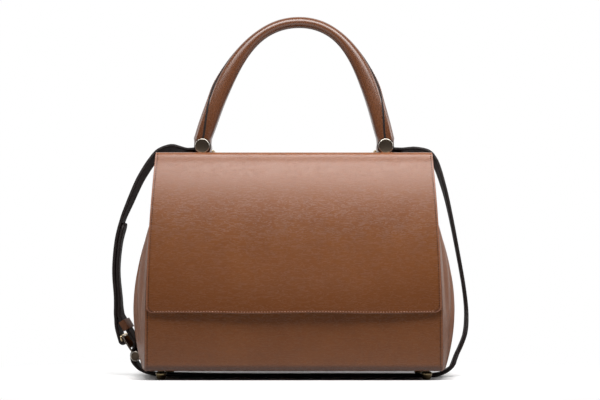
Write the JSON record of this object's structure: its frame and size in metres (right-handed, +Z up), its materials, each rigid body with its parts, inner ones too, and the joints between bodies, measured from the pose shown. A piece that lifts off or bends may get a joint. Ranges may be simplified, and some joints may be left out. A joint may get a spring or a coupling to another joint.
{
  "type": "handbag",
  "caption": "Structured tan leather handbag with a front flap, a rolled arch handle on metal barrels and a dark buckled shoulder strap.",
  "frame": {"origin": "on the floor under the middle of the bag, on the flat underside of the strap where it passes below the base", "axes": "+Z up, -Y towards the front flap, +X to the right as seen from the front"},
  "size_m": [0.4049, 0.1617, 0.4058],
  "materials": {
    "tan_leather": "fine grained, satin",
    "dark_leather": "dark inner side and painted edges, satin",
    "suede_lining": "matte suede cloth",
    "stiff_board": "matte fibre board",
    "brass": "polished",
    "dark_bronze": "dark antique finish, polished edges",
    "magnet_steel": "plain"
  },
  "bodies": {
    "bag": {"front_panel": "tan_leather", "back_panel": "tan_leather", "left_gusset": "tan_leather", "right_gusset": "tan_leather", "base_panel": "tan_leather", "base_board": "stiff_board", "lining": "suede_lining", "foot_front_left": "brass", "foot_front_right": "brass", "foot_rear_left": "brass", "foot_rear_right": "brass", "panel_magnet_left": "magnet_steel", "panel_magnet_right": "magnet_steel", "strap_ring_left": "brass", "strap_ring_right": "brass", "strap_tab_left": "tan_leather", "strap_tab_right": "tan_leather", "strap_upper": "dark_leather", "strap_lower": "dark_leather", "strap_frame": "brass", "clip_barrel": "dark_bronze", "clip_plate": "dark_bronze"},
    "lid": {"lid_leather": "tan_leather", "lid_board": "stiff_board", "lid_lining": "suede_lining", "barrel_left": "dark_bronze", "barrel_right": "dark_bronze", "handle_wrap_left": "tan_leather", "handle_wrap_right": "tan_leather", "handle": "tan_leather"},
    "flap": {"flap_leather": "tan_leather", "flap_lining": "suede_lining", "flap_magnet_left": "magnet_steel", "flap_magnet_right": "magnet_steel"},
    "keeper": {"strap_keeper": "tan_leather"}
  },
  "joints": [
    {"name": "lid_hinge", "type": "hinge", "parent": "bag", "child": "lid", "pos_m": [0, 0.035, 0.249], "axis": [-1, 0, 0], "range_deg": [0, 88]},
    {"name": "flap_hinge", "type": "hinge", "parent": "lid", "child": "flap", "pos_m": [0, -0.03203, 0.249], "axis": [-1, 0, 0], "range_deg": [0, 165]},
    {"name": "keeper_slide", "type": "slide", "parent": "bag", "child": "keeper", "axis": [-0.5141, 0, 0.8577], "range_m": [-0.006, 0.002]}
  ]
}
